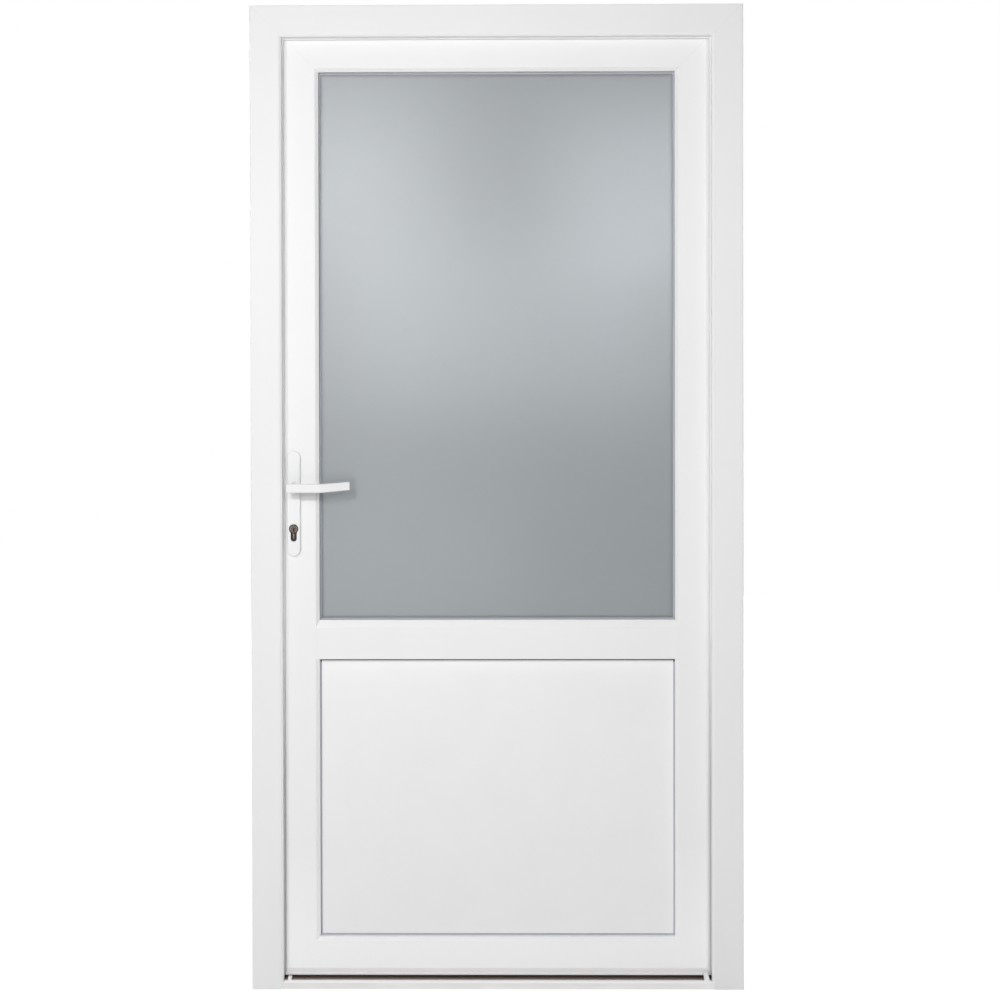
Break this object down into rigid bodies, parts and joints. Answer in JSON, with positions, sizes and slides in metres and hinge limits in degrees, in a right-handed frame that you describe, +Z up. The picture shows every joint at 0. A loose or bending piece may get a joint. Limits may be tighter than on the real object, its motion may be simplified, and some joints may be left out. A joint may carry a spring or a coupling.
{
  "type": "glazed exterior door",
  "caption": "White half-glazed exterior service door in its frame, with a frosted pane over a plain panel, a lever handle on a long plate and a low metal threshold.",
  "frame": {"origin": "middle of the threshold's underside, at half the depth of the frame", "axes": "+X to the right as seen from outside, +Y from outside to inside, +Z up"},
  "size_m": [1, 0.188, 2],
  "materials": {
    "white_pvc": "satin",
    "white_panel": "satin",
    "white_coating": "gloss",
    "galvanised_steel": "satin",
    "mill_aluminium": "satin",
    "nickel": "satin",
    "black_seal": "matte",
    "grey_seal": "matte",
    "black_plastic": "matte",
    "grey_plastic": "matte",
    "satin_glass": "satin"
  },
  "bodies": {
    "frame": {"frame_head": "white_pvc", "frame_jamb_lock": "white_pvc", "frame_jamb_hinge": "white_pvc", "frame_steels": "galvanised_steel", "frame_gasket": "grey_seal", "threshold_outer": "mill_aluminium", "threshold_core": "black_plastic", "threshold_inner": "mill_aluminium", "threshold_blocks": "white_pvc", "lock_strike": "galvanised_steel", "cam_strikes": "galvanised_steel", "hinge_frame_lower": "white_coating", "hinge_frame_middle": "white_coating", "hinge_frame_upper": "white_coating", "hinge_pins": "galvanised_steel"},
    "leaf": {"bottom_brush": "black_seal", "bottom_seal_carrier": "white_pvc", "cylinder_plugs": "nickel", "deadbolt": "galvanised_steel", "glass_beads_level": "white_pvc", "glass_beads_upright": "white_pvc", "glass_gasket_inner": "grey_seal", "glass_gasket_outer": "grey_seal", "glass_inner": "satin_glass", "glass_outer": "satin_glass", "glass_spacer": "mill_aluminium", "glazing_packers": "grey_plastic", "handle_plate_inner": "white_coating", "handle_plate_outer": "white_coating", "hinge_leaf_lower": "white_coating", "hinge_leaf_middle": "white_coating", "hinge_leaf_upper": "white_coating", "latch_bolt": "galvanised_steel", "leaf_gasket": "grey_seal", "leaf_rail_bottom": "white_pvc", "leaf_rail_middle": "white_pvc", "leaf_rail_top": "white_pvc", "leaf_stile_hinge": "white_pvc", "leaf_stile_lock": "white_pvc", "lock_case": "galvanised_steel", "lock_cylinder": "nickel", "lock_faceplate": "galvanised_steel", "locking_cams": "galvanised_steel", "lower_panel": "white_panel", "panel_beads_level": "white_pvc", "panel_beads_upright": "white_pvc", "panel_gasket_inner": "grey_seal", "panel_gasket_outer": "grey_seal"},
    "handle": {"lever_outer": "white_coating", "lever_inner": "white_coating", "spindle": "galvanised_steel"}
  },
  "joints": [
    {"name": "leaf_swing", "type": "hinge", "parent": "frame", "child": "leaf", "pos_m": [0.481, 0.0495, 1], "axis": [0, 0, -1], "range_deg": [0, 100]},
    {"name": "handle_turn", "type": "hinge", "parent": "leaf", "child": "handle", "pos_m": [-0.4148, 0.022, 1.022], "axis": [0, 1, 0], "range_deg": [0, 45], "stiffness_Nm_per_rad": 1.5, "springref_deg": -34.38}
  ]
}
